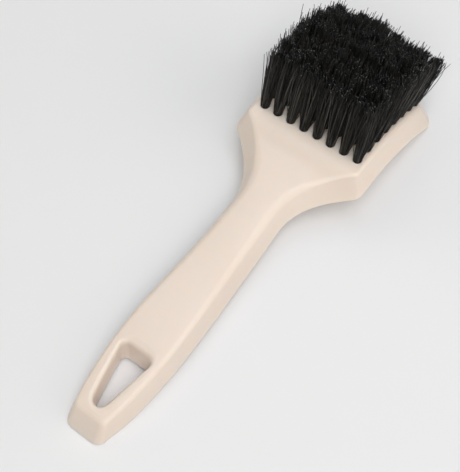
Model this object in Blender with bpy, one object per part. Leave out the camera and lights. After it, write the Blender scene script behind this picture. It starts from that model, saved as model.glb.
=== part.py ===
# Upholstery brush, lying on its back with the bristles up.
# X runs across the head, Y along the brush from the blunt grip end to the head, Z up from the rest plane.
# The origin is in the rest plane, under the middle of the brush. All lengths are in metres.
# The sizes along the brush start at the grip end, and the last step moves the middle to the origin.
import bpy
import bmesh
import math
from mathutils import Matrix, Vector

# Grip end
end_width = 0.0178
end_thickness = 0.0102
end_corner_radius = 0.0045
end_draft = 0.0052
end_pad_length = 0.0020

# Handle, at five places measured from the grip end: width, lift of the underside, thickness
taper_place = 0.0180
taper_width = 0.0262
grip_place = 0.0480
grip_width = 0.0306
grip_lift = 0.0028
grip_thickness = 0.0119
waist_place = 0.0900
waist_width = 0.0276
waist_lift = 0.0044
waist_thickness = 0.0123
neck_place = 0.1190
neck_width = 0.0260
neck_lift = 0.0086
neck_thickness = 0.0110
shoulder_place = 0.1500

# Lean of the side walls, as the run from the bottom edge in to the top edge
handle_draft = 0.0030
neck_draft = 0.0044
head_draft = 0.0048
head_far_draft = 0.0058
shoulder_setback = 0.0046
far_draft = 0.0038

# Rounding of the edges
handle_edge_radius = 0.0020
head_edge_radius = 0.0012
bottom_edge_radius = 0.0008
shoulder_radius = 0.0020
far_corner_radius = 0.0098
far_top_corner_radius = 0.0058
flare_power = 2.1

# Tuft field on the arched face of the head
tuft_rows = 8
tufts_across = 8
tuft_pitch = 0.00705
tuft_width = 0.0041
face_radius = 0.0927
head_thickness = 0.0094
crest_height = 0.0255
front_margin = 0.0111
side_margin = 0.0023
far_margin = 0.0028

# Hang hole, a triangle with rounded corners and its point towards the grip end
hole_tip_place = 0.0119
hole_length = 0.0287
hole_width = 0.0150
hole_tip_radius = 0.0034
hole_corner_radius = 0.0030
hole_head_draft = 0.0034
hole_side_draft = 0.0003
hole_rim_radius = 0.0018

# Bristles
strands_round_tuft = 6
strand_radius = 0.00060
strand_tip_radius = 0.00048
strand_sides = 3
strand_root_sunk = 0.0006
tuft_tip_width = 0.0066
bristle_length = 0.0300
trim_radius = 0.0760
front_lean = math.radians(15)
far_lean = math.radians(37)
far_bow_lean = math.radians(6)

# Backing slice of each row, and the row of wire anchors under it
slice_width = 0.0047
slice_depth = 0.0032
anchor_width = 0.0034
anchor_height = 0.0018
anchor_thickness = 0.0005
anchor_web_height = 0.0008

fit_clearance = 0.0003
cut_overrun = 0.0040

# Colour, roughness and metallic value of each finish
cream_plastic = ((0.79, 0.69, 0.59, 1.0), 0.42, 0.0)
black_nylon = ((0.012, 0.011, 0.010, 1.0), 0.38, 0.0)
bright_wire = ((0.62, 0.61, 0.58, 1.0), 0.35, 1.0)

front_row_place = shoulder_place + front_margin
row_angle = tuft_pitch / face_radius
field_half_width = (tufts_across - 1) * tuft_pitch / 2
head_top_half = field_half_width + tuft_width / 2 + side_margin
far_angle = (tuft_rows - 1) * row_angle + (tuft_width / 2 + far_margin) / face_radius
far_top_place = front_row_place + face_radius * math.sin(far_angle)
brush_length = far_top_place + far_draft
arc_height = crest_height - face_radius


def clear_scene():
    for old in list(bpy.data.objects):
        bpy.data.objects.remove(old, do_unlink=True)


def new_collection(name):
    made = bpy.data.collections.new(name)
    bpy.context.scene.collection.children.link(made)
    return made


def new_material(name, finish):
    colour, roughness, metallic = finish
    made = bpy.data.materials.new(name)
    made.use_nodes = True
    shader = made.node_tree.nodes["Principled BSDF"]
    shader.inputs["Base Color"].default_value = colour
    shader.inputs["Roughness"].default_value = roughness
    shader.inputs["Metallic"].default_value = metallic
    made.diffuse_color = colour
    return made


def object_from_bmesh(name, bm, collection, materials):
    mesh = bpy.data.meshes.new(name)
    bmesh.ops.recalc_face_normals(bm, faces=bm.faces)
    bm.to_mesh(mesh)
    bm.free()
    for material in materials:
        mesh.materials.append(material)
    made = bpy.data.objects.new(name, mesh)
    collection.objects.link(made)
    return made


def as_tool(made):
    made.hide_render = True
    made.display_type = "WIRE"
    return made


def add_boolean(target, tool, operation):
    step = target.modifiers.new(operation.lower(), "BOOLEAN")
    step.operation = operation
    step.solver = "EXACT"
    step.object = tool


def smooth_value(points, at):
    # Cubic through (place, value) pairs, level with its end values outside them
    if at <= points[0][0]:
        return points[0][1]
    if at >= points[-1][0]:
        return points[-1][1]
    slopes = []
    for i in range(len(points)):
        before = points[max(i - 1, 0)]
        after = points[min(i + 1, len(points) - 1)]
        slopes.append((after[1] - before[1]) / (after[0] - before[0]))
    for i in range(len(points) - 1):
        (a, low), (b, high) = points[i], points[i + 1]
        if at <= b:
            span = b - a
            t = (at - a) / span
            start = (1 + 2 * t) * (1 - t) ** 2 * low + t * (1 - t) ** 2 * span * slopes[i]
            return start + t * t * (3 - 2 * t) * high + t * t * (t - 1) * span * slopes[i + 1]


def arc_z(radius, y):
    return arc_height + math.sqrt(max(radius ** 2 - (y - front_row_place) ** 2, 0))


face_start = shoulder_place + shoulder_setback
pad_end = end_draft + end_corner_radius + end_pad_length

top_points = [
    (end_draft, end_thickness),
    (grip_place, grip_lift + grip_thickness),
    (waist_place, waist_lift + waist_thickness),
    (neck_place, neck_lift + neck_thickness),
    (face_start, arc_z(face_radius, face_start)),
]
under_points = [
    (pad_end, 0),
    (grip_place, grip_lift),
    (waist_place, waist_lift),
    (neck_place, neck_lift),
    (shoulder_place, arc_z(face_radius - head_thickness, shoulder_place)),
]


def top_z(y):
    if y >= face_start:
        return arc_z(face_radius, y)
    return smooth_value(top_points, y)


def under_z(y):
    if y >= shoulder_place:
        return max(arc_z(face_radius - head_thickness, y), 0)
    return smooth_value(under_points, y)


def blend(a, b, t):
    return a + (b - a) * t


def side_half(level, inset, y):
    # Half width of the handle at a level from 0, the bottom edge, to 1, the top edge
    points = [
        (0, end_width / 2 - handle_draft * level),
        (taper_place, taper_width / 2 - handle_draft * level),
        (grip_place, grip_width / 2 - handle_draft * level),
        (waist_place, waist_width / 2 - blend(handle_draft, neck_draft, 0.5) * level),
        (neck_place, neck_width / 2 - neck_draft * level),
    ]
    return smooth_value(points, y) - inset


def half_outline(level, inset):
    # Outline of the right half in plan, from the middle of the end wall to the far wall
    outline = []
    end_y = end_draft * level + inset
    radius = blend(end_corner_radius, end_corner_radius - handle_draft / 2, level) - inset / 2
    arc_middle = side_half(level, inset, end_y + radius) - radius
    for i in range(5):
        angle = math.radians(90) * i / 4
        outline.append((arc_middle + radius * math.sin(angle), end_y + radius * (1 - math.cos(angle))))
    # The first station behind the corner ends the flat pad that the grip end rests on
    side_stations = 12
    for i in range(side_stations + 1):
        y = blend(pad_end, neck_place, i / side_stations)
        outline.append((side_half(level, inset, y), y))
    neck_half = side_half(level, inset, neck_place)
    shoulder_y = shoulder_place + shoulder_setback * level + inset
    shoulder_half = head_top_half + head_draft * (1 - level) - inset

    def flare(y):
        t = (y - neck_place) / (shoulder_y - neck_place)
        return neck_half + (shoulder_half - neck_half) * t ** flare_power

    flare_stations = 8
    flare_end = shoulder_y - shoulder_radius / 2
    for i in range(1, flare_stations + 1):
        y = blend(neck_place, flare_end, i / flare_stations)
        outline.append((flare(y), y))
    # The shoulder corner is a short curve from the flare into the side of the head
    start = Vector((flare(flare_end), flare_end))
    corner = Vector((shoulder_half, shoulder_y))
    finish = Vector((shoulder_half, shoulder_y + shoulder_radius))
    for t in (1 / 3, 2 / 3, 1):
        point = start * (1 - t) ** 2 + corner * 2 * t * (1 - t) + finish * t ** 2
        outline.append((point.x, point.y))
    far_y = far_top_place + far_draft * (1 - level) - inset
    far_half = head_top_half + head_far_draft * (1 - level) - inset
    radius = blend(far_corner_radius, far_top_corner_radius, level) - inset
    arc_start = far_y - radius
    # One station falls midway between each two rows of tufts
    flat_end = far_top_place - far_top_corner_radius
    flat_start = face_start + shoulder_radius
    for row in range(tuft_rows):
        between = front_row_place + face_radius * math.sin((row - 0.5) * row_angle)
        t = (between - flat_start) / (flat_end - flat_start)
        if 0 < t < 1:
            outline.append((blend(shoulder_half, far_half, t), blend(finish.y, arc_start, t)))
    for i in range(5):
        angle = math.radians(90) * i / 4
        x = far_half - radius + radius * math.sin(angle + math.radians(90))
        outline.append((x, arc_start + radius * math.sin(angle)))
    return outline


def edge_radius(y):
    t = min(max((y - neck_place) / (shoulder_place - neck_place), 0), 1)
    return blend(handle_edge_radius, head_edge_radius, t)


def wall_levels():
    # Each level of the wall: share of the draft, share of each edge radius in plan, share in height
    half_turn = math.radians(45)
    return (
        ("bottom", 0, 1, 0),
        ("bottom", 0, 1 - math.sin(half_turn), 1 - math.cos(half_turn)),
        ("bottom", 0, 0, 1),
        ("top", 1, 0, 1),
        ("top", 1, 1 - math.cos(half_turn / 2), 1 - math.sin(half_turn / 2)),
        ("top", 1, 1 - math.cos(half_turn), 1 - math.sin(half_turn)),
        ("top", 1, 1 - math.sin(half_turn / 2), 1 - math.cos(half_turn / 2)),
        ("top", 1, 1, 0),
    )


def handle_rings():
    # A ring goes up the right wall and down the left wall at one station along the brush
    walls = []
    for edge, level, plan_share, height_share in wall_levels():
        if edge == "bottom":
            outline = half_outline(level, bottom_edge_radius * plan_share)
            wall = [(x, y, under_z(y) + bottom_edge_radius * height_share) for x, y in outline]
        else:
            sharp = half_outline(level, 0)
            drawn_in = half_outline(level, handle_edge_radius)
            wall = []
            for (x0, y0), (x1, y1) in zip(sharp, drawn_in):
                share = plan_share * edge_radius(y0) / handle_edge_radius
                x = blend(x0, x1, share)
                y = blend(y0, y1, share)
                wall.append((x, y, top_z(y) - edge_radius(y0) * height_share))
        walls.append(wall)
    rings = []
    for i in range(len(walls[0])):
        right = [wall[i] for wall in walls]
        left = [(-x, y, z) for x, y, z in reversed(right)]
        rings.append(right + left)
    return rings


def close_ring(bm, ring):
    # A ring that runs up one side and down the other is closed like a ladder, so that it may be bent
    last = len(ring) - 1
    for i in range(len(ring) // 2 - 1):
        bm.faces.new((ring[i], ring[i + 1], ring[last - i - 1], ring[last - i]))


def loft(rings):
    # Unlike closed rings of equal and even count, joined in order and closed at each end
    bm = bmesh.new()
    loops = [[bm.verts.new(point) for point in ring] for ring in rings]
    count = len(rings[0])
    for near, far in zip(loops, loops[1:]):
        for i in range(count):
            j = (i + 1) % count
            bm.faces.new((near[i], near[j], far[j], far[i]))
    for loop in (loops[0], loops[-1]):
        close_ring(bm, loop)
    return bm


def hole_outline(grow, head_draw_in, side_draw_in):
    # Three corner circles joined by their outer tangents
    corner = Vector((hole_width / 2 - hole_corner_radius - side_draw_in,
                     hole_tip_place + hole_length - hole_corner_radius - head_draw_in))
    tip = Vector((0, hole_tip_place + hole_tip_radius))
    apart = corner - tip
    lean = math.atan2(apart.y, apart.x)
    tangent = lean - math.acos((hole_tip_radius - hole_corner_radius) / apart.length)
    points = []

    def add_arc(centre, radius, first, last, steps):
        for i in range(steps + 1):
            angle = blend(first, last, i / steps)
            points.append(centre + (radius + grow) * Vector((math.cos(angle), math.sin(angle))))

    right_angle = math.radians(90)
    add_arc(tip, hole_tip_radius, -right_angle, tangent, 4)
    add_arc(corner, hole_corner_radius, tangent, right_angle, 4)
    add_arc(Vector((-corner.x, corner.y)), hole_corner_radius, right_angle, 2 * right_angle - tangent, 4)
    add_arc(tip, hole_tip_radius, 2 * right_angle - tangent, 3 * right_angle, 4)
    return points[:-1]


def make_hole_cutter(collection):
    # The rim turns outward in two steps, and then runs out through the top at half a right angle
    step = math.radians(30)
    rings = [[(p.x, p.y, -cut_overrun) for p in hole_outline(0, hole_head_draft, hole_side_draft)]]
    for i in range(3):
        grow = hole_rim_radius * (1 - math.cos(step * i))
        below = hole_rim_radius * (1 - math.sin(step * i))
        rings.append([(p.x, p.y, top_z(p.y) - below) for p in hole_outline(grow, 0, 0)])
    grow += below + cut_overrun
    rings.append([(p.x, p.y, top_z(p.y) + cut_overrun) for p in hole_outline(grow, 0, 0)])
    return as_tool(object_from_bmesh("hang_hole_cutter", loft(rings), collection, []))


def row_frame(row):
    # Local X across the head, local Y along its face, local Z out of it
    angle = row * row_angle
    place = Vector((0, front_row_place + face_radius * math.sin(angle),
                    arc_height + face_radius * math.cos(angle)))
    return Matrix.Translation(place) @ Matrix.Rotation(-angle, 4, "X")


def slot_shape(half_length, width, low, high, matrix):
    # A bar with half round ends, from a cylinder pulled apart at its middle
    bm = bmesh.new()
    turn = Matrix.Rotation(math.radians(180) / 16, 4, "Z")
    bmesh.ops.create_cone(bm, cap_ends=True, segments=16, radius1=width / 2, radius2=width / 2,
                          depth=high - low, matrix=Matrix.Translation((0, 0, (high + low) / 2)) @ turn)
    for vert in bm.verts:
        vert.co.x += math.copysign(half_length, vert.co.x)
    bmesh.ops.transform(bm, matrix=matrix, verts=bm.verts)
    return bm


def make_handle(parts, tools, cream):
    handle = object_from_bmesh("handle", loft(handle_rings()), parts, [cream])
    add_boolean(handle, make_hole_cutter(tools), "DIFFERENCE")
    depth = slice_depth + anchor_height + 2 * fit_clearance
    for row in range(tuft_rows):
        shape = slot_shape(field_half_width, slice_width + 2 * fit_clearance, -depth,
                           head_edge_radius, row_frame(row))
        pocket = as_tool(object_from_bmesh(f"row_pocket_{row + 1}", shape, tools, []))
        add_boolean(handle, pocket, "DIFFERENCE")
    shade(handle)


def shade(made):
    made.data.shade_smooth()
    made.data.set_sharp_from_angle(angle=math.radians(40))


def trim_point(root, direction):
    # Where a strand meets the arched surface that the bristles are trimmed to
    rise = bristle_length * Vector((0, math.sin(front_lean), math.cos(front_lean)))
    middle = Vector((0, front_row_place, crest_height)) + rise - Vector((0, 0, trim_radius))
    away = root - middle
    away.x = 0
    flat = Vector((0, direction.y, direction.z))
    a = flat.dot(flat)
    b = 2 * away.dot(flat)
    c = away.dot(away) - trim_radius ** 2
    reach = (-b + math.sqrt(b * b - 4 * a * c)) / (2 * a)
    return root + direction * reach


def strand_offsets():
    # One strand in the middle of a tuft, and the others in a ring round it
    offsets = [(0, 0)]
    for i in range(strands_round_tuft):
        angle = math.radians(360) * (i + 0.5) / strands_round_tuft
        offsets.append((math.cos(angle), math.sin(angle)))
    return offsets


def add_strand(bm, root, tip, turn):
    way = tip - root
    matrix = Matrix.Translation((root + tip) / 2) @ way.to_track_quat("Z", "Y").to_matrix().to_4x4()
    bmesh.ops.create_cone(bm, cap_ends=True, segments=strand_sides, radius1=strand_radius,
                          radius2=strand_tip_radius, depth=way.length,
                          matrix=matrix @ Matrix.Rotation(turn, 4, "Z"))


def row_strands(row):
    bm = bmesh.new()
    frame = row_frame(row)
    share = row / (tuft_rows - 1)
    across = Vector((1, 0, 0))
    ring = tuft_width / 2 - strand_radius
    tip_ring = tuft_tip_width / 2 - strand_tip_radius
    for column in range(tufts_across):
        x = (column - (tufts_across - 1) / 2) * tuft_pitch
        # Towards the far edge the middle tufts lean out further than those at the sides
        bow = far_bow_lean * share * (1 - (x / field_half_width) ** 2)
        lean = blend(front_lean, far_lean, share) + bow
        up = Vector((0, math.sin(lean), math.cos(lean)))
        along = up.cross(across)
        for index, (u, v) in enumerate(strand_offsets()):
            root = frame @ Vector((x + ring * u, ring * v, 0))
            aim = frame @ Vector((x, 0, 0)) + up * bristle_length + (across * u + along * v) * tip_ring
            direction = (aim - root).normalized()
            tip = trim_point(root, direction)
            add_strand(bm, root - direction * strand_root_sunk, tip, math.radians(37) * index)
    for face in bm.faces:
        face.material_index = 1
    return bm


def make_tuft_row(row, parts, tools, cream, nylon):
    name = f"tuft_row_{row + 1}"
    shape = slot_shape(field_half_width, slice_width, -slice_depth, 0, row_frame(row))
    made = object_from_bmesh(name, shape, parts, [cream, nylon])
    strands = as_tool(object_from_bmesh(f"{name}_strands", row_strands(row), tools, [cream, nylon]))
    add_boolean(made, strands, "UNION")


def make_anchor_row(row, parts, wire):
    # Eight flat blades on a low web, cut from one outline and stood under the slice of its row
    top = -slice_depth - fit_clearance
    floor = top - anchor_height
    half = anchor_width / 2
    outline = [(-field_half_width - half, floor)]
    for column in reversed(range(tufts_across)):
        x = (column - (tufts_across - 1) / 2) * tuft_pitch
        if not outline[1:]:
            outline.append((field_half_width + half, floor))
        else:
            outline.append((x + half, floor + anchor_web_height))
        outline.append((x + half, top))
        outline.append((x - half, top))
        if column > 0:
            outline.append((x - half, floor + anchor_web_height))
    curve = bpy.data.curves.new(f"anchor_row_{row + 1}", "CURVE")
    curve.dimensions = "2D"
    curve.fill_mode = "BOTH"
    curve.extrude = anchor_thickness / 2
    spline = curve.splines.new("POLY")
    spline.points.add(len(outline) - 1)
    for point, (x, z) in zip(spline.points, outline):
        point.co = (x, z, 0, 1)
    spline.use_cyclic_u = True
    curve.materials.append(wire)
    made = bpy.data.objects.new(curve.name, curve)
    made.matrix_world = row_frame(row) @ Matrix.Rotation(math.radians(90), 4, "X")
    parts.objects.link(made)


def centre_on_origin(parts, tools):
    # All pieces and cutters hang on one empty, which puts the middle of their whole length at the origin
    depsgraph = bpy.context.evaluated_depsgraph_get()
    reach = []
    for made in parts.objects:
        shape = made.evaluated_get(depsgraph)
        mesh = shape.to_mesh()
        reach += [(shape.matrix_world @ vert.co).y for vert in mesh.vertices]
        shape.to_mesh_clear()
    origin = bpy.data.objects.new("brush_origin", None)
    parts.objects.link(origin)
    for made in list(parts.objects) + list(tools.objects):
        if made != origin:
            made.parent = origin
    origin.location.y = -(min(reach) + max(reach)) / 2
    print("whole length", round(max(reach) - min(reach), 4))


def main():
    clear_scene()
    parts = new_collection("upholstery_brush")
    tools = new_collection("cutters")
    cream = new_material("cream_plastic", cream_plastic)
    nylon = new_material("black_nylon", black_nylon)
    wire = new_material("bright_wire", bright_wire)
    make_handle(parts, tools, cream)
    for row in range(tuft_rows):
        make_tuft_row(row, parts, tools, cream, nylon)
        make_anchor_row(row, parts, wire)
    centre_on_origin(parts, tools)
    print("length of the moulding", round(brush_length, 4))


main()
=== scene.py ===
# Upholstery brush lying on its back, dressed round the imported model.
# Lengths are in metres. Places along the brush are counted from the blunt grip end.
import bpy
import bmesh
import math
import numpy as np
from mathutils import Matrix, Vector


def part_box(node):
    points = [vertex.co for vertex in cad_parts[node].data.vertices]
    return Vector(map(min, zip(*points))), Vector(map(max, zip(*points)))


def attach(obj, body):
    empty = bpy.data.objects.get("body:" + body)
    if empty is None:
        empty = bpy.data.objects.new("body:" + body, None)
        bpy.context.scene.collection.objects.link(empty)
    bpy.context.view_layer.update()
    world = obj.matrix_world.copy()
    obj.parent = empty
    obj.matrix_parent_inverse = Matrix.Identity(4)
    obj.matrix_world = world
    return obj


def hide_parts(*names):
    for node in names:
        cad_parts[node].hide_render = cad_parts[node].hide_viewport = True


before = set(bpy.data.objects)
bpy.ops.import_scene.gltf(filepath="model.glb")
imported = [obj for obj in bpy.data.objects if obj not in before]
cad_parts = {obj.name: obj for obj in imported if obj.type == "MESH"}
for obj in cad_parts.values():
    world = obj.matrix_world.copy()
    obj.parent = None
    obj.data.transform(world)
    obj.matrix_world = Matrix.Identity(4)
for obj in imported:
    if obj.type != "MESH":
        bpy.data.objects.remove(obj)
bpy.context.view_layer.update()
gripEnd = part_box("handle")[0].y
print("packed model loaded, grip end at", round(gripEnd, 5))


class Signal:
    # A socket that can be used in sums and products
    def __init__(self, recipe, socket):
        self.recipe = recipe
        self.socket = socket

    def maths(self, operation, first, second):
        return self.recipe.node("ShaderNodeMath", {"operation": operation}, {0: first, 1: second})

    def __add__(self, other):
        return self.maths("ADD", self, other)

    def __radd__(self, other):
        return self.maths("ADD", other, self)

    def __sub__(self, other):
        return self.maths("SUBTRACT", self, other)

    def __rsub__(self, other):
        return self.maths("SUBTRACT", other, self)

    def __mul__(self, other):
        return self.maths("MULTIPLY", self, other)

    def __rmul__(self, other):
        return self.maths("MULTIPLY", other, self)


class Recipe:
    # Nodes that are added to one tree
    def __init__(self, tree):
        self.tree = tree

    def node(self, kind, settings, values, output=0):
        made = self.tree.nodes.new(kind)
        for name, value in settings.items():
            if name == "stops":
                self.setStops(made.color_ramp, value)
            else:
                setattr(made, name, value)
        for name, value in values.items():
            self.feed(made.inputs[name], value)
        return Signal(self, made.outputs[output])

    def feed(self, socket, value):
        if isinstance(value, Signal):
            self.tree.links.new(value.socket, socket)
        else:
            socket.default_value = value

    def setStops(self, ramp, stops):
        while len(ramp.elements) < len(stops):
            ramp.elements.new(1)
        for element, (place, level) in zip(ramp.elements, stops):
            element.position = place
            element.color = (level, level, level, 1)

    def place(self, stretch, move=(0, 0, 0)):
        # Object coordinates, drawn out along an axis where its stretch is small
        coords = self.node("ShaderNodeTexCoord", {}, {}, "Object")
        return self.node("ShaderNodeMapping", {}, {"Vector": coords, "Location": move, "Scale": stretch})

    def noise(self, scale, detail=2, stretch=(1, 1, 1)):
        return self.node("ShaderNodeTexNoise", {}, {"Vector": self.place(stretch), "Scale": scale,
                                                    "Detail": detail}, "Fac")

    def spots(self, scale, ends):
        # 1 near the middle of each cell, 0 beyond
        distance = self.node("ShaderNodeTexVoronoi", {}, {"Vector": self.place((1, 1, 1)), "Scale": scale},
                             "Distance")
        return self.ramp(distance, ((ends[0], 1), (ends[1], 0)))

    def ramp(self, value, stops):
        return self.node("ShaderNodeValToRGB", {"stops": stops}, {"Fac": value}, "Color")

    def rise(self, value, ends):
        # 0 up to the first end, 1 from the second one on
        return self.ramp(value, ((ends[0], 0), (ends[1], 1)))

    def length(self, vector):
        return self.node("ShaderNodeVectorMath", {"operation": "LENGTH"}, {0: vector}, "Value")

    def blend(self, amount, low, high):
        # Colours keep their hue through a Mix node; sockets 6 and 7 are its colours
        return self.node("ShaderNodeMix", {"data_type": "RGBA"}, {0: amount, 6: low, 7: high}, 2)

    def seen(self):
        # 1 for what shows to the camera, directly, in a sheen or through glass
        camera, sheen, glass = [self.node("ShaderNodeLightPath", {}, {}, kind)
                                for kind in ("Is Camera Ray", "Is Glossy Ray", "Is Transmission Ray")]
        return camera + sheen + glass

    def chooseShader(self, factor, low, high):
        return self.node("ShaderNodeMixShader", {}, {0: factor, 1: low, 2: high})


class Finish(Recipe):
    # One material, built round its Principled BSDF
    def __init__(self, name, constants):
        self.material = bpy.data.materials.new(name)
        self.material.use_nodes = True
        super().__init__(self.material.node_tree)
        self.shader = self.tree.nodes["Principled BSDF"]
        for socket, value in constants.items():
            self.shader.inputs[socket].default_value = value

    def finish(self, colour, roughness, height=None, strength=0.0, reach=0.001):
        self.feed(self.shader.inputs["Base Color"], colour)
        self.feed(self.shader.inputs["Roughness"], roughness)
        if height is not None:
            normal = self.node("ShaderNodeBump", {}, {"Strength": strength, "Distance": reach,
                                                      "Height": height})
            self.feed(self.shader.inputs["Normal"], normal)
        return self.material


creamLook = {
    "shader": {"IOR": 1.49, "Subsurface Weight": 0.40, "Subsurface Radius": (1.0, 0.66, 0.42),
               "Subsurface Scale": 0.0050},
    "body": (0.788, 0.684, 0.599, 1),
    "warm": (0.774, 0.661, 0.567, 1),
    "pale": (0.797, 0.699, 0.616, 1),
    "speck": (0.330, 0.260, 0.205, 1),
    # Each pattern has its scale, the levels that it rises between and its share of the result
    "driftScale": 22, "driftShare": 0.6,
    "flowScale": 55, "flowShare": 0.4, "flowStretch": (1.0, 0.18, 1.0), "cloudEnds": (0.36, 0.64),
    "bloomScale": 140, "bloomShare": 0.35, "bloomEnds": (0.55, 0.80),
    "gritScale": 90, "gritShare": 0.65, "gritEnds": (0.030, 0.055),
    "patchScale": 24, "patchEnds": (0.60, 0.64),
    "roughness": 0.34, "roughnessSwing": 0.08, "gritRoughness": 0.2,
    "rubScale": 260, "rubStretch": (1.0, 0.35, 1.0),
    "reliefStrength": 0.10, "reliefReach": 0.0002,
    "peelScale": 420, "peelShare": 0.6, "grainScale": 1500, "grainShare": 0.25, "flowRelief": 0.15,
}


def creamPlastic():
    look = creamLook
    recipe = Finish("creamPlastic", look["shader"])
    drift = recipe.noise(look["driftScale"], 3)
    flow = recipe.noise(look["flowScale"], 4, look["flowStretch"])
    cloud = recipe.rise(drift * look["driftShare"] + flow * look["flowShare"], look["cloudEnds"])
    colour = recipe.blend(cloud, look["warm"], look["body"])
    bloom = recipe.rise(recipe.noise(look["bloomScale"], 2), look["bloomEnds"])
    colour = recipe.blend(bloom * look["bloomShare"], colour, look["pale"])
    # A few dark specks of dust, far apart
    grit = recipe.spots(look["gritScale"], look["gritEnds"])
    grit = grit * recipe.rise(recipe.noise(look["patchScale"], 1), look["patchEnds"])
    colour = recipe.blend(grit * look["gritShare"], colour, look["speck"])
    rub = recipe.noise(look["rubScale"], 3, look["rubStretch"])
    roughness = look["roughness"] + (rub - 0.5) * look["roughnessSwing"] + grit * look["gritRoughness"]
    peel = recipe.noise(look["peelScale"], 2) * look["peelShare"]
    grain = recipe.noise(look["grainScale"], 2) * look["grainShare"]
    relief = peel + grain + flow * look["flowRelief"]
    return recipe.finish(colour, roughness, relief, look["reliefStrength"], look["reliefReach"])


wireLook = {
    "shader": {"Metallic": 1.0},
    "bright": (0.66, 0.65, 0.62, 1),
    "dull": (0.46, 0.44, 0.41, 1),
    "stainScale": 500, "stainEnds": (0.40, 0.70),
    "drawnScale": 1800, "drawnStretch": (0.04, 1.0, 1.0),
    "roughness": 0.30, "roughnessSwing": 0.25,
    "reliefStrength": 0.15, "reliefReach": 0.00005,
}


def brightWire():
    look = wireLook
    recipe = Finish("brightWire", look["shader"])
    drawn = recipe.noise(look["drawnScale"], 3, look["drawnStretch"])
    stain = recipe.rise(recipe.noise(look["stainScale"], 2), look["stainEnds"])
    colour = recipe.blend(stain, look["bright"], look["dull"])
    roughness = look["roughness"] + (drawn - 0.5) * look["roughnessSwing"]
    return recipe.finish(colour, roughness, drawn, look["reliefStrength"], look["reliefReach"])


cream = creamPlastic()
wire = brightWire()
print("plastic and wire finishes made")


# Sizes of the one-piece moulding. Its solid shares most of them, but has plain edges, no hollow, crown or
# swell, and an end wall and a flare that lean in less.
moulding = {
    "endWidth": 0.0178, "endThickness": 0.0102, "endCornerRadius": 0.0045, "endDraft": 0.0076,
    "endPad": 0.0117,  # flat that the grip end rests on
    "taperPlace": 0.0180, "taperWidth": 0.0262,
    "gripPlace": 0.0480, "gripWidth": 0.0306, "gripLift": 0.0028, "gripThickness": 0.0119,
    "waistPlace": 0.0900, "waistWidth": 0.0276, "waistLift": 0.0044, "waistThickness": 0.0123,
    "neckPlace": 0.1190, "neckWidth": 0.0260, "neckLift": 0.0086, "neckThickness": 0.0110,
    "shoulderPlace": 0.1500, "shoulderSetback": 0.0046, "shoulderRadius": 0.0034,
    "shoulderTopRadius": 0.0014, "flarePower": 2.1, "flareTopPower": 2.5,
    "handleDraft": 0.0030, "neckDraft": 0.0044, "headDraft": 0.0048, "headFarDraft": 0.0058,
    "farDraft": 0.0038, "farCornerRadius": 0.0098, "farTopCornerRadius": 0.0058,
    "faceRadius": 0.0927, "headThickness": 0.0094, "crestHeight": 0.0255,
    "frontMargin": 0.0111, "sideMargin": 0.0023, "farMargin": 0.0028,
    # Dip where the neck meets the head
    "hollowDepth": 0.0013, "hollowStart": 0.118, "hollowLow": 0.1460, "hollowEnd": 0.1540,
    # Swell of the underside below the shoulders
    "fullDepth": 0.0012, "fullStart": 0.120, "fullEnd": 0.178,
    # Swell of the top across the handle, and the lengths over which it fades out at its ends
    "crown": 0.0003, "crownHeadFade": 0.030, "crownEndFade": 0.020,
    # How far the rounding of the top edge reaches, at places along the brush
    "topEdge": ((0.008, 0.0017), (0.032, 0.0018), (0.080, 0.0024), (0.126, 0.0032), (0.138, 0.0024),
                (0.147, 0.0013), (0.154, 0.0010), (0.165, 0.0016), (0.200, 0.0018), (0.214, 0.0021)),
    "widestEdge": 0.0038, "bottomEdge": 0.0009, "edgeWeight": 0.72,
    "cornerSteps": 12, "sideSteps": 64, "flareSteps": 36, "shoulderSteps": 8, "headSteps": 34,
    "farSteps": 16, "edgeSteps": 7, "wallSteps": 3, "acrossSteps": 24,
    "joinWithin": 0.000001, "sharpAngle": 38, "normalWeight": 80,
}
field = {"rows": 8, "columns": 8, "pitch": 0.00705, "tuftWidth": 0.0041}

m = moulding
rowAngle = field["pitch"] / m["faceRadius"]
frontRow = m["shoulderPlace"] + m["frontMargin"]
fieldHalf = (field["columns"] - 1) * field["pitch"] / 2
headHalf = fieldHalf + field["tuftWidth"] / 2 + m["sideMargin"]
farAngle = (field["rows"] - 1) * rowAngle + (field["tuftWidth"] / 2 + m["farMargin"]) / m["faceRadius"]
farTop = frontRow + m["faceRadius"] * math.sin(farAngle)
arcHeight = m["crestHeight"] - m["faceRadius"]
faceStart = m["shoulderPlace"] + m["shoulderSetback"]
columnPlaces = [(column - (field["columns"] - 1) / 2) * field["pitch"] for column in range(field["columns"])]


def mixed(a, b, t):
    return a + (b - a) * t


def smoothValue(points, at):
    # Cubic through (place, value) pairs
    if at <= points[0][0]:
        return points[0][1]
    if at >= points[-1][0]:
        return points[-1][1]
    last = len(points) - 1
    slopes = []
    for i in range(last + 1):
        (a, low), (b, high) = points[max(i - 1, 0)], points[min(i + 1, last)]
        slopes.append((high - low) / (b - a))
    for i in range(last):
        (a, low), (b, high) = points[i], points[i + 1]
        if at <= b:
            span, t = b - a, (at - a) / (b - a)
            rise = t * (1 - t) ** 2 * span * slopes[i] + t * t * (t - 1) * span * slopes[i + 1]
            return (1 + 2 * t) * (1 - t) ** 2 * low + t * t * (3 - 2 * t) * high + rise


def arcZ(radius, y):
    return arcHeight + math.sqrt(max(radius ** 2 - (y - frontRow) ** 2, 0))


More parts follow.
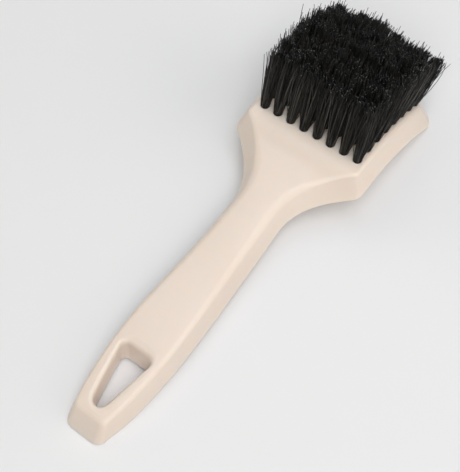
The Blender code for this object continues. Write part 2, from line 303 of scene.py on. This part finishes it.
topPoints = [(m["endDraft"], m["endThickness"]), (m["gripPlace"], m["gripLift"] + m["gripThickness"]),
             (m["waistPlace"], m["waistLift"] + m["waistThickness"]),
             (m["neckPlace"], m["neckLift"] + m["neckThickness"]),
             (faceStart, arcZ(m["faceRadius"], faceStart))]
underPoints = [(m["endPad"], 0), (m["gripPlace"], m["gripLift"]), (m["waistPlace"], m["waistLift"]),
               (m["neckPlace"], m["neckLift"]),
               (m["shoulderPlace"], arcZ(m["faceRadius"] - m["headThickness"], m["shoulderPlace"]))]


def eased(t):
    t = min(max(t, 0), 1)
    return t * t * (3 - 2 * t)


def topZ(y):
    # The neck dips a little before it climbs onto the face of the head
    fall = eased((y - m["hollowStart"]) / (m["hollowLow"] - m["hollowStart"]))
    climb = eased((y - m["hollowLow"]) / (m["hollowEnd"] - m["hollowLow"]))
    height = arcZ(m["faceRadius"], y) if y >= faceStart else smoothValue(topPoints, y)
    return height - m["hollowDepth"] * (fall - climb)


def underZ(y):
    # The underside is a little full below the shoulders
    swell = eased((y - m["fullStart"]) / (m["shoulderPlace"] - m["fullStart"]))
    swell -= eased((y - m["shoulderPlace"]) / (m["fullEnd"] - m["shoulderPlace"]))
    if y >= m["shoulderPlace"]:
        return max(arcZ(m["faceRadius"] - m["headThickness"], y) - m["fullDepth"] * swell, 0)
    return smoothValue(underPoints, y) - m["fullDepth"] * swell


def sideHalf(level, y):
    points = [(0, m["endWidth"] / 2 - m["handleDraft"] * level),
              (m["taperPlace"], m["taperWidth"] / 2 - m["handleDraft"] * level),
              (m["gripPlace"], m["gripWidth"] / 2 - m["handleDraft"] * level),
              (m["waistPlace"], m["waistWidth"] / 2 - (m["handleDraft"] + m["neckDraft"]) / 2 * level),
              (m["neckPlace"], m["neckWidth"] / 2 - m["neckDraft"] * level)]
    return smoothValue(points, y)


def halfOutline(level, inset):
    # Right half in plan, from the end wall to the far wall; level 0 is the bottom edge and 1 the top
    outline = []
    # End wall, round its corner
    endY = m["endDraft"] * level + inset
    radius = m["endCornerRadius"] - m["handleDraft"] / 2 * level - inset / 2
    middle = sideHalf(level, endY + radius) - inset - radius
    for i in range(m["cornerSteps"] + 1):
        angle = math.radians(90) * i / m["cornerSteps"]
        outline.append((middle + radius * math.sin(angle), endY + radius * (1 - math.cos(angle))))
    # Side of the grip and neck
    start = endY + radius
    for i in range(1, m["sideSteps"] + 1):
        y = mixed(start, m["neckPlace"], i / m["sideSteps"])
        outline.append((sideHalf(level, y) - inset, y))
    # Flare out to the shoulder
    neckHalf = sideHalf(level, m["neckPlace"]) - inset
    shoulderY = m["shoulderPlace"] + m["shoulderSetback"] * level + inset
    shoulderHalf = headHalf + m["headDraft"] * (1 - level) - inset
    power = mixed(m["flarePower"], m["flareTopPower"], level)

    def flare(y):
        t = (y - m["neckPlace"]) / (shoulderY - m["neckPlace"])
        return neckHalf + (shoulderHalf - neckHalf) * t ** power

    shoulderRadius = mixed(m["shoulderRadius"], m["shoulderTopRadius"], level)
    flareEnd = shoulderY - shoulderRadius / 2
    for i in range(1, m["flareSteps"] + 1):
        y = mixed(m["neckPlace"], flareEnd, i / m["flareSteps"])
        outline.append((flare(y), y))
    # Soft corner of the shoulder
    begin = Vector((flare(flareEnd), flareEnd))
    corner = Vector((shoulderHalf, shoulderY))
    finish = Vector((shoulderHalf, shoulderY + shoulderRadius))
    for i in range(1, m["shoulderSteps"] + 1):
        t = i / m["shoulderSteps"]
        outline.append(tuple(begin * (1 - t) ** 2 + corner * 2 * t * (1 - t) + finish * t ** 2))
    # Side of the head and its far corner
    farY = farTop + m["farDraft"] * (1 - level) - inset
    farHalf = headHalf + m["headFarDraft"] * (1 - level) - inset
    radius = mixed(m["farCornerRadius"], m["farTopCornerRadius"], level) - inset
    arcStart = farY - radius
    for i in range(1, m["headSteps"]):
        t = i / m["headSteps"]
        outline.append((mixed(shoulderHalf, farHalf, t), mixed(finish.y, arcStart, t)))
    for i in range(m["farSteps"] + 1):
        angle = math.radians(90) * i / m["farSteps"]
        outline.append((farHalf - radius + radius * math.cos(angle), arcStart + radius * math.sin(angle)))
    return outline


def roundedCorner(start, corner, finish, steps):
    # Weighted curve, close to an arc, between two edges that meet at the corner
    points = []
    for i in range(steps + 1):
        t = i / steps
        a, b, c = (1 - t) ** 2, 2 * t * (1 - t) * m["edgeWeight"], t * t
        points.append((start * a + corner * b + finish * c) / (a + b + c))
    return points


def wallPoints():
    # For each station on the right half: points from the underside, up the wall, onto the top
    bottom, bottomIn = halfOutline(0, 0), halfOutline(0, m["bottomEdge"])
    top, topInFull = halfOutline(1, 0), halfOutline(1, m["widestEdge"])
    walls = []
    for i in range(len(bottom)):
        low = Vector((*bottom[i], underZ(bottom[i][1])))
        lowIn = Vector((*bottomIn[i], underZ(bottomIn[i][1])))
        high = Vector((*top[i], topZ(top[i][1])))
        reach = smoothValue(m["topEdge"], high.y)
        x = mixed(top[i][0], topInFull[i][0], reach / m["widestEdge"])
        y = mixed(top[i][1], topInFull[i][1], reach / m["widestEdge"])
        highIn = Vector((x, y, topZ(y)))
        up = (high - low).normalized()
        lowWall, highWall = low + up * m["bottomEdge"], high - up * reach
        points = roundedCorner(lowIn, low, lowWall, m["edgeSteps"])
        for step in range(1, m["wallSteps"]):
            points.append(lowWall.lerp(highWall, step / m["wallSteps"]))
        walls.append(points + roundedCorner(highWall, high, highIn, m["edgeSteps"]))
    return walls


def crownAt(share, y):
    # The top of the handle is a little full across its middle, and the head is not
    fade = min(max((m["shoulderPlace"] - y) / m["crownHeadFade"], 0), 1)
    fade *= min(max(y / m["crownEndFade"], 0), 1)
    return m["crown"] * fade * (1 - share ** 2)


def crossRow(bm, right, left, crowned):
    # Points between the right and left ends of one row
    row = []
    for step in range(1, m["acrossSteps"]):
        share = 1 - 2 * step / m["acrossSteps"]
        point = right.lerp(left, step / m["acrossSteps"])
        if crowned:
            point.z += crownAt(share, point.y)
        row.append(bm.verts.new(point))
    return row


def bridge(bm, loops):
    # Four-sided faces between each closed loop of points and the next
    for near, far in zip(loops, loops[1:]):
        for i in range(len(near)):
            j = (i + 1) % len(near)
            bm.faces.new((near[i], near[j], far[j], far[i]))


def mouldingMesh():
    bm = bmesh.new()
    rings, rows = [], []
    for points in wallPoints():
        mirrored = [Vector((-p.x, p.y, p.z)) for p in points]
        right = [bm.verts.new(p) for p in points]
        left = [bm.verts.new(p) for p in mirrored]
        over = crossRow(bm, points[-1], mirrored[-1], True)
        under = crossRow(bm, points[0], mirrored[0], False)
        rings.append(right + over + left[::-1] + under[::-1])
        rows.append((right, over, left, under))
    bridge(bm, rings)
    # A grid closes the end wall, and another the far wall
    for right, over, left, under in (rows[0], rows[-1]):
        grid = []
        for level in range(len(right)):
            if level == 0:
                between = under
            elif level == len(right) - 1:
                between = over
            else:
                between = crossRow(bm, right[level].co, left[level].co, False)
            grid.append([right[level], *between, left[level]])
        for low, high in zip(grid, grid[1:]):
            for i in range(len(low) - 1):
                bm.faces.new((low[i], low[i + 1], high[i + 1], high[i]))
    return bm


def addObject(name, content, place=(0, gripEnd, 0)):
    made = bpy.data.objects.new(name, content)
    made.location = place
    bpy.context.scene.collection.objects.link(made)
    return made


def addMesh(name, bm, material):
    bmesh.ops.recalc_face_normals(bm, faces=bm.faces)
    mesh = bpy.data.meshes.new(name)
    bm.to_mesh(mesh)
    bm.free()
    mesh.materials.append(material)
    return addObject(name, mesh)


def closeTube(bm, loops):
    bridge(bm, loops)
    bm.faces.new(loops[0])
    bm.faces.new(loops[-1])


hangHole = {
    "tipPlace": 0.0119, "length": 0.0287, "width": 0.0150, "tipRadius": 0.0034, "cornerRadius": 0.0030,
    # How far its walls come in towards the bottom
    "headDraft": 0.0050, "sideDraft": 0.0003,
    # The rim rolls over by an arc, further and softer at the wide end
    "rim": 0.0014, "rimAngle": 78, "headRim": 1.6, "headRimPower": 3, "headSoft": 0.0013,
    "arcSteps": 9, "rimSteps": 7, "overrun": 0.0040, "clearOfTop": 0.0003,
}


def holeOutline(grow, headIn, sideIn):
    h = hangHole
    corner = Vector((h["width"] / 2 - h["cornerRadius"] - sideIn,
                     h["tipPlace"] + h["length"] - h["cornerRadius"] - headIn))
    tip = Vector((0, h["tipPlace"] + h["tipRadius"]))
    apart = corner - tip
    tangent = math.atan2(apart.y, apart.x)
    tangent -= math.acos((h["tipRadius"] - h["cornerRadius"]) / apart.length)
    square = math.radians(90)
    arcs = ((tip, h["tipRadius"], -square, tangent), (corner, h["cornerRadius"], tangent, square),
            (Vector((-corner.x, corner.y)), h["cornerRadius"], square, 2 * square - tangent),
            (tip, h["tipRadius"], 2 * square - tangent, 3 * square))
    points = []
    for centre, radius, first, last in arcs:
        for i in range(h["arcSteps"] + 1):
            angle = mixed(first, last, i / h["arcSteps"])
            points.append(centre + (radius + grow) * Vector((math.cos(angle), math.sin(angle))))
    return points[:-1]


def rimDepth(y):
    # The rim rolls down further at the wide end of the hole
    share = eased((y - hangHole["tipPlace"]) / hangHole["length"])
    return 1 + hangHole["headRim"] * share ** hangHole["headRimPower"]


def holeCutter():
    h = hangHole
    rings = [[(p.x, p.y, -h["overrun"]) for p in holeOutline(0, h["headDraft"], h["sideDraft"])]]
    lastAngle = math.radians(h["rimAngle"])
    for i in range(h["rimSteps"] + 1):
        angle = lastAngle * i / h["rimSteps"]
        grow, below = h["rim"] * (1 - math.cos(angle)), h["rim"] * (1 - math.sin(angle))
        headIn = h["headSoft"] * math.cos(angle)
        rings.append([(p.x, p.y, topZ(p.y) - below * rimDepth(p.y)) for p in holeOutline(grow, headIn, 0)])
    # The rim leaves the top along its own slope, and then the cutter stands up clear of it
    grow += (below + h["clearOfTop"]) * math.tan(lastAngle)
    for height in (h["clearOfTop"], h["overrun"]):
        rings.append([(p.x, p.y, topZ(p.y) + height) for p in holeOutline(grow, 0, 0)])
    bm = bmesh.new()
    closeTube(bm, [[bm.verts.new(point) for point in ring] for ring in rings])
    return addMesh("hangHoleCutter", bm, cream)


def rowFrame(row):
    angle = row * rowAngle
    place = Vector((0, frontRow + m["faceRadius"] * math.sin(angle),
                    arcHeight + m["faceRadius"] * math.cos(angle)))
    return Matrix.Translation(place) @ Matrix.Rotation(-angle, 4, "X")


tuftHole = {
    "radius": 0.00212, "depth": 0.0060, "sides": 24,
    "floorShare": 0.92, "floorEdge": 0.0004,  # the floor is a little narrower, and its edge slopes
    "rim": 0.00022, "rimBend": 0.35, "above": 0.0006,
}


def tuftHoleCutter():
    # Blind holes with a small broken edge, one for each tuft
    h = tuftHole
    bend = h["rim"] * h["rimBend"]
    profile = ((h["radius"] * h["floorShare"], -h["depth"]), (h["radius"], -h["depth"] + h["floorEdge"]),
               (h["radius"], -h["rim"]), (h["radius"] + bend, -bend),
               (h["radius"] + h["rim"] + h["above"], h["above"]))
    turns = [math.radians(360) * i / h["sides"] for i in range(h["sides"])]
    bm = bmesh.new()
    for row in range(field["rows"]):
        for x in columnPlaces:
            matrix = rowFrame(row) @ Matrix.Translation((x, 0, 0))
            loops = []
            for radius, z in profile:
                loops.append([bm.verts.new(matrix @ Vector((radius * math.cos(a), radius * math.sin(a), z)))
                              for a in turns])
            closeTube(bm, loops)
    return addMesh("tuftHoleCutter", bm, cream)


def cutAway(target, tool):
    step = target.modifiers.new("cut", "BOOLEAN")
    step.operation = "DIFFERENCE"
    step.solver = "EXACT"
    step.object = tool
    depsgraph = bpy.context.evaluated_depsgraph_get()
    mesh = bpy.data.meshes.new_from_object(target.evaluated_get(depsgraph))
    bm = bmesh.new()
    bm.from_mesh(mesh)
    # The cut leaves a few points on top of each other
    bmesh.ops.remove_doubles(bm, verts=bm.verts, dist=m["joinWithin"])
    bm.to_mesh(mesh)
    bm.free()
    target.modifiers.clear()
    target.data = mesh
    bpy.data.objects.remove(tool, do_unlink=True)


def makeMoulding():
    made = addMesh("brushMoulding", mouldingMesh(), cream)
    cutAway(made, holeCutter())
    cutAway(made, tuftHoleCutter())
    made.data.shade_smooth()
    made.data.set_sharp_from_angle(angle=math.radians(m["sharpAngle"]))
    weigh = made.modifiers.new("evenNormals", "WEIGHTED_NORMAL")
    weigh.keep_sharp = True
    weigh.weight = m["normalWeight"]
    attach(made, "root")
    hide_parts("handle")
    return made


brushMoulding = makeMoulding()
print("moulding made,", len(brushMoulding.data.polygons), "faces")


bristles = {
    "seed": 57, "perTuft": 126, "radius": 0.000170, "tipRadius": 0.000125, "rootTaper": 0.9, "sides": 5,
    "packRadius": 0.00196, "packJitter": 0.03, "rootDepth": 0.0029, "rootSpread": 0.3,
    # The tips end on an arch of this radius
    "length": 0.0287, "trimRadius": 0.0745,
    # Lean of the tufts, in degrees, from the front row to the far one
    "frontLean": 20, "farLean": 37, "bowLean": 11.0, "bowPower": 2.0, "bowShift": 0.08,
    "farLonger": 0.0014, "sideLean": 3.5, "tuftSway": 0.016, "tuftRise": 0.00100,
    # How a tuft opens, and how far its filaments stand apart
    "fan": 0.00120, "fanHeight": 0.0080, "jitter": 0.021, "wildShare": 0.22, "wildJitter": 0.062,
    "clumps": 6, "clumpPlace": 0.66, "clumpPull": 0.50, "leastPull": 0.2,
    # Bow of a filament, and the turn of its free end
    "bow": 0.00055, "tipBend": 0.00070, "bendFrom": 0.7, "bendOver": 0.3,
    # Uneven trim, and the few that stray
    "cutSpread": 0.00050, "shortShare": 0.12, "shortBy": 0.0040, "longShare": 0.09, "longBy": 0.0030,
    "strayShare": 0.016, "strayLean": 0.13, "leastStray": 0.3, "outerFrom": 0.85, "outerMore": 3,
    "levels": (0.0, 0.10, 0.22, 0.38, 0.58, 0.78, 0.90, 1.0), "sharpAngle": 75,
}
leanAngle = math.radians(bristles["frontLean"])
trimY = frontRow + bristles["length"] * math.sin(leanAngle)
trimZ = m["crestHeight"] + bristles["length"] * math.cos(leanAngle) - bristles["trimRadius"]
goldenAngle = math.radians(137.508)


nylonLook = {
    "shader": {"IOR": 1.53, "Specular IOR Level": 0.20},
    "dark": (0.0035, 0.0035, 0.0032, 1),
    "brown": (0.0330, 0.0300, 0.0250, 1),
    "grey": (0.1050, 0.1020, 0.0950, 1),
    # Colour of the painted shade near the trimmed tips
    "shaded": (0.0060, 0.0062, 0.0064, 1),
    "brownEnds": (0.40, 0.66), "greyEnds": (0.82, 0.97),
    "clumpScale": 420, "clumpStretch": (1.0, 1.0, 0.10), "clumpEnds": (0.50, 0.75), "clumpShare": 0.2,
    "endReach": 0.0050, "shadedEnds": (0.0, 0.8), "shadedShare": 0.62,
    "roughness": 0.38, "roughnessSwing": 0.20,
    "grainScale": 5200, "grainStretch": (1.0, 1.0, 0.2),
    "reliefStrength": 0.18, "reliefReach": 0.00006,
}


def blackNylon():
    look = nylonLook
    recipe = Finish("blackNylon", look["shader"])
    # Each filament is a loose part of its mesh, so it has a tone of its own
    strand = recipe.node("ShaderNodeNewGeometry", {}, {}, "Random Per Island")
    clump = recipe.noise(look["clumpScale"], 2, look["clumpStretch"])
    colour = recipe.blend(recipe.rise(strand, look["brownEnds"]), look["dark"], look["brown"])
    colour = recipe.blend(recipe.rise(strand, look["greyEnds"]), colour, look["grey"])
    colour = recipe.blend(recipe.rise(clump, look["clumpEnds"]) * look["clumpShare"], colour, look["grey"])
    # Painted shade: the strands are painted darker near the trimmed tips, where the crowded tips shade each
    # other
    radius = recipe.length(recipe.place((0, 1, 1), (0, -trimY, -trimZ)))
    nearness = (radius - (bristles["trimRadius"] - look["endReach"])) * (1 / look["endReach"])
    shaded = recipe.rise(nearness, look["shadedEnds"]) * look["shadedShare"]
    colour = recipe.blend(shaded, colour, look["shaded"])
    roughness = look["roughness"] + (strand - 0.5) * look["roughnessSwing"]
    relief = recipe.noise(look["grainScale"], 2, look["grainStretch"])
    return recipe.finish(colour, roughness, relief, look["reliefStrength"], look["reliefReach"])


cutLook = {
    "shader": {"IOR": 1.53},
    "plain": (0.0140, 0.0140, 0.0135, 1),
    # Pale grey of the painted glints on a few cut ends
    "bright": (0.6600, 0.6600, 0.6400, 1),
    "glintEnds": (0.74, 1.0),
    "roughness": 0.45, "roughnessSwing": 0.1, "grainScale": 5200,
}


def cutNylon():
    # Painted highlight: a few of the cut ends are painted pale grey as glints, over the dark colour of the
    # cut nylon
    look = cutLook
    recipe = Finish("cutNylon", look["shader"])
    strand = recipe.node("ShaderNodeNewGeometry", {}, {}, "Random Per Island")
    colour = recipe.blend(recipe.rise(strand, look["glintEnds"]), look["plain"], look["bright"])
    roughness = look["roughness"] + recipe.noise(look["grainScale"], 2) * look["roughnessSwing"]
    return recipe.finish(colour, roughness)


nylon = blackNylon()
nylonEnd = cutNylon()
print("nylon finishes made")


def tuftLean(row, x):
    # The tufts lean further out towards the far edge, and its middle ones most
    share = row / (field["rows"] - 1)
    middle = max(1 - (x / fieldHalf - bristles["bowShift"]) ** 2, 0)
    bow = share ** bristles["bowPower"] * middle
    lean = mixed(bristles["frontLean"], bristles["farLean"], share) + bristles["bowLean"] * bow
    aside = math.radians(bristles["sideLean"]) * share * (x / fieldHalf) ** 3
    return math.radians(lean), aside, bristles["farLonger"] * bow


def trimReach(roots, ways):
    # Distance along each strand to the arched surface that the bristles are trimmed to
    away = roots[:, 1:] - np.array((trimY, trimZ))
    flat = ways[:, 1:]
    a = (flat * flat).sum(1)
    b = 2 * (away * flat).sum(1)
    c = (away * away).sum(1) - bristles["trimRadius"] ** 2
    return (-b + np.sqrt(b * b - 4 * a * c)) / (2 * a)


def unit(vectors):
    return vectors / np.linalg.norm(vectors, axis=1, keepdims=True)


def sideways(draw, size, count, across, side):
    # A small step in any direction across the tuft, one for each filament
    turn, step = draw.uniform(0, math.tau, count), draw.normal(0, size, count)
    return step[:, None] * (np.cos(turn)[:, None] * across + np.sin(turn)[:, None] * side)


def tuftStrands(row, x, draw):
    # Centre lines of one tuft: an array of strands by levels by 3
    b = bristles
    count = b["perTuft"]
    matrix = rowFrame(row)
    across = np.array((1.0, 0, 0))
    along = np.array(matrix.to_3x3() @ Vector((0, 1, 0)))
    out = np.array(matrix.to_3x3() @ Vector((0, 0, 1)))
    base = np.array(matrix @ Vector((x, 0, 0)))
    lean, aside, longerBy = tuftLean(row, x)
    up = np.array((0, math.sin(lean), math.cos(lean)))
    side = np.cross(up, across)
    order = np.arange(count) + 0.5
    spread = np.sqrt(order / count)
    turn = order * goldenAngle + draw.uniform(0, math.tau)
    u = spread * np.cos(turn) + draw.normal(0, b["packJitter"], count)
    v = spread * np.sin(turn) + draw.normal(0, b["packJitter"], count)
    exits = base + b["packRadius"] * (u[:, None] * across + v[:, None] * along)
    # Filaments draw together into a few clumps towards the tips
    clumpTurn = np.arange(b["clumps"]) * math.tau / b["clumps"] + draw.uniform(0, math.tau)
    clumpU, clumpV = b["clumpPlace"] * np.cos(clumpTurn), b["clumpPlace"] * np.sin(clumpTurn)
    apart = (u[:, None] - clumpU) ** 2 + (v[:, None] - clumpV) ** 2
    nearest = apart.argmin(1)
    pull = b["clumpPull"] * draw.uniform(b["leastPull"], 1.0, count)
    wild = draw.uniform(0, 1, count) < b["wildShare"]
    jitter = np.where(wild, b["wildJitter"], b["jitter"])
    swayU, swayV = draw.normal(0, b["tuftSway"], 2)
    leanU = draw.normal(0, 1, count) * jitter + swayU + aside
    leanV = draw.normal(0, 1, count) * jitter + swayV
    # A few stray outwards, more of them at the rim of the tuft
    stray = draw.uniform(0, 1, count) < b["strayShare"] * (1 + b["outerMore"] * (spread > b["outerFrom"]))
    leanU += stray * np.sign(u) * draw.uniform(b["leastStray"], 1, count) * b["strayLean"]
    leanV += stray * np.sign(v) * draw.uniform(b["leastStray"], 1, count) * b["strayLean"]
    ways = unit(up + leanU[:, None] * across + leanV[:, None] * side)
    reach = trimReach(exits, ways) + longerBy + draw.normal(0, b["tuftRise"])
    reach += draw.normal(0, b["cutSpread"], count)
    short = draw.uniform(0, 1, count) < b["shortShare"]
    longer = draw.uniform(0, 1, count) < b["longShare"]
    reach -= short * draw.uniform(0, b["shortBy"], count)
    reach += longer * draw.uniform(0, b["longBy"], count)
    # The tuft opens quickly above its hole, each filament bows a little, and its end turns aside
    opened = b["fan"] * (mixed(u, clumpU[nearest], pull)[:, None] * across
                         + mixed(v, clumpV[nearest], pull)[:, None] * side)
    bow = sideways(draw, b["bow"], count, across, side)
    bend = sideways(draw, b["tipBend"], count, across, side)
    lines = [exits * b["rootSpread"] + base * (1 - b["rootSpread"]) - out * b["rootDepth"]]
    for level in b["levels"]:
        height = (reach * level)[:, None]
        splay = opened * (1 - np.exp(-height / b["fanHeight"]))
        turned = max(level - b["bendFrom"], 0) / b["bendOver"]
        lines.append(exits + ways * height + splay + bow * 4 * level * (1 - level) + bend * turned ** 2)
    return np.stack(lines, 1)


def strandMesh(name, lines):
    # A thin tube round each centre line, closed at both ends
    b = bristles
    strands, levels = lines.shape[:2]
    sides = b["sides"]
    # Two directions across each strand, found from one that is askew to them all
    ways = unit(lines[:, -1] - lines[:, 1])
    first = unit(np.cross(ways, np.array((0.31, 0.11, 0.94))))
    second = np.cross(ways, first)
    thickness = np.linspace(b["radius"], b["tipRadius"], levels - 1)
    radii = np.concatenate(([b["radius"] * b["rootTaper"]], thickness))
    turns = np.arange(sides) * math.tau / sides
    ring = np.cos(turns)[None, :, None] * first[:, None, :]
    ring = ring + np.sin(turns)[None, :, None] * second[:, None, :]
    verts = lines[:, :, None, :] + radii[None, :, None, None] * ring[:, None, :, :]
    starts = np.arange(strands) * levels * sides
    quads = []
    for level in range(levels - 1):
        low, high = starts + level * sides, starts + (level + 1) * sides
        for i in range(sides):
            j = (i + 1) % sides
            quads.append(np.stack((low + i, low + j, high + j, high + i), 1))
    top = (levels - 1) * sides
    ends = [np.stack([starts + top + i for i in range(sides)], 1),
            np.stack([starts + i for i in reversed(range(sides))], 1)]
    faces = np.concatenate(quads).tolist() + np.concatenate(ends).tolist()
    mesh = bpy.data.meshes.new(name)
    mesh.from_pydata(verts.reshape(-1, 3).tolist(), [], faces)
    mesh.shade_smooth()
    mesh.materials.append(nylon)
    mesh.materials.append(nylonEnd)
    # The faces of the free ends come after the sides, and before those of the roots
    for end in range(len(faces) - 2 * strands, len(faces) - strands):
        mesh.polygons[end].material_index = 1
    return addObject(name, mesh)


def makeBristles():
    draw = np.random.RandomState(bristles["seed"])
    for row in range(field["rows"]):
        tufts = [tuftStrands(row, x, draw) for x in columnPlaces]
        name = f"bristleRow{row + 1}"
        made = strandMesh(name, np.concatenate(tufts))
        made.data.set_sharp_from_angle(angle=math.radians(bristles["sharpAngle"]))
        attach(made, "root")
        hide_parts(f"tuft_row_{row + 1}")
        print(name, "made,", len(made.data.polygons), "faces")


makeBristles()


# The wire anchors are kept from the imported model
for name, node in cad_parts.items():
    if name.startswith("anchor_row"):
        node.data.materials.clear()
        node.data.materials.append(wire)
print("anchors dressed")


stage = {
    "floorSize": 12.0, "floorDrop": 0.0002,
    "floorShader": {"Specular IOR Level": 0.1}, "floorRoughness": 0.9,
    "fibreScale": 60, "fibreShades": (0.995, 1.005),
    # The floor runs into the backdrop between these distances
    "floorEnds": (0.40, 1.50),
    "floorColour": (0.812, 0.810, 0.814, 1), "backColour": (0.830, 0.828, 0.830, 1),
    "skyStrength": 0.12, "skyColour": (1.0, 1.0, 1.0, 1),
    # Name, place, size, power and colour of each softbox
    "softboxes": (("overhead", (0.40, 0.0, 1.44), 1.2, 9.5, (0.965, 1.0, 1.05)),
                  ("behind", (-0.46, 0.53, 1.32), 0.9, 3.0, (0.95, 1.0, 1.08)),
                  ("right", (1.24, 0.46, 0.78), 1.4, 6.9, (1.05, 1.0, 0.91)),
                  ("left", (-1.25, 0.0, 0.80), 1.0, 2.6, (1.08, 1.0, 0.74)),
                  ("front", (0.70, -1.20, 1.55), 1.4, 13.3, (1.02, 1.0, 0.98)),
                  ("frontLow", (0.60, -1.25, 0.68), 0.6, 1.0, (1.05, 1.0, 0.92))),
}


def makeFloor():
    bm = bmesh.new()
    bmesh.ops.create_grid(bm, x_segments=4, y_segments=4, size=stage["floorSize"] / 2)
    recipe = Finish("palePaper", stage["floorShader"])
    fibre = recipe.noise(stage["fibreScale"], 3)
    low, high = [(*[part * shade for part in stage["floorColour"][:3]], 1) for shade in stage["fibreShades"]]
    paper = recipe.finish(recipe.blend(fibre, low, high), stage["floorRoughness"])
    away = recipe.length(recipe.place((1, 1, 0)))
    near, far = stage["floorEnds"]
    faded = recipe.rise((away - near) * (1 / (far - near)), (0.0, 1.0))
    backdrop = recipe.node("ShaderNodeEmission", {}, {"Color": stage["backColour"]})
    lit = Signal(recipe, recipe.shader.outputs[0])
    recipe.feed(recipe.tree.nodes["Material Output"].inputs["Surface"],
                recipe.chooseShader(faded * recipe.seen(), lit, backdrop))
    floor = addMesh("floor", bm, paper)
    floor.location = (0, 0, -stage["floorDrop"])


def makeSky():
    world = bpy.data.worlds.new("softSky")
    bpy.context.scene.world = world
    world.use_nodes = True
    world.node_tree.nodes.clear()
    recipe = Recipe(world.node_tree)
    light = recipe.node("ShaderNodeBackground", {}, {"Color": stage["skyColour"],
                                                     "Strength": stage["skyStrength"]})
    backdrop = recipe.node("ShaderNodeBackground", {}, {"Color": stage["backColour"]})
    shown = recipe.chooseShader(recipe.seen(), light, backdrop)
    output = recipe.tree.nodes.new("ShaderNodeOutputWorld")
    recipe.feed(output.inputs["Surface"], shown)


def makeLamp(name, place, size, power, colour):
    lamp = bpy.data.lights.new(name, "AREA")
    lamp.shape = "DISK"
    lamp.size = size
    lamp.energy = power
    lamp.color = colour
    made = addObject(name, lamp, place)
    made.rotation_euler = (-Vector(place)).to_track_quat("-Z", "Y").to_euler()


photoView = {
    "place": (0.13924, -0.16979, 0.41229), "turn": (28.06, 2.26, 37.09),
    "lens": 82.2, "sensorWidth": 36, "clipStart": 0.01,
}


def makeCamera():
    camera = bpy.data.cameras.new("photoView")
    camera.lens = photoView["lens"]
    camera.sensor_width = photoView["sensorWidth"]
    camera.sensor_fit = "HORIZONTAL"
    camera.clip_start = photoView["clipStart"]
    made = addObject("photoView", camera, photoView["place"])
    made.rotation_euler = [math.radians(angle) for angle in photoView["turn"]]
    bpy.context.scene.camera = made


makeFloor()
makeSky()
for softbox in stage["softboxes"]:
    makeLamp(*softbox)
makeCamera()
bpy.context.scene.view_settings.view_transform = "Standard"
print("stage, light and camera made")

bpy.context.view_layer.update()
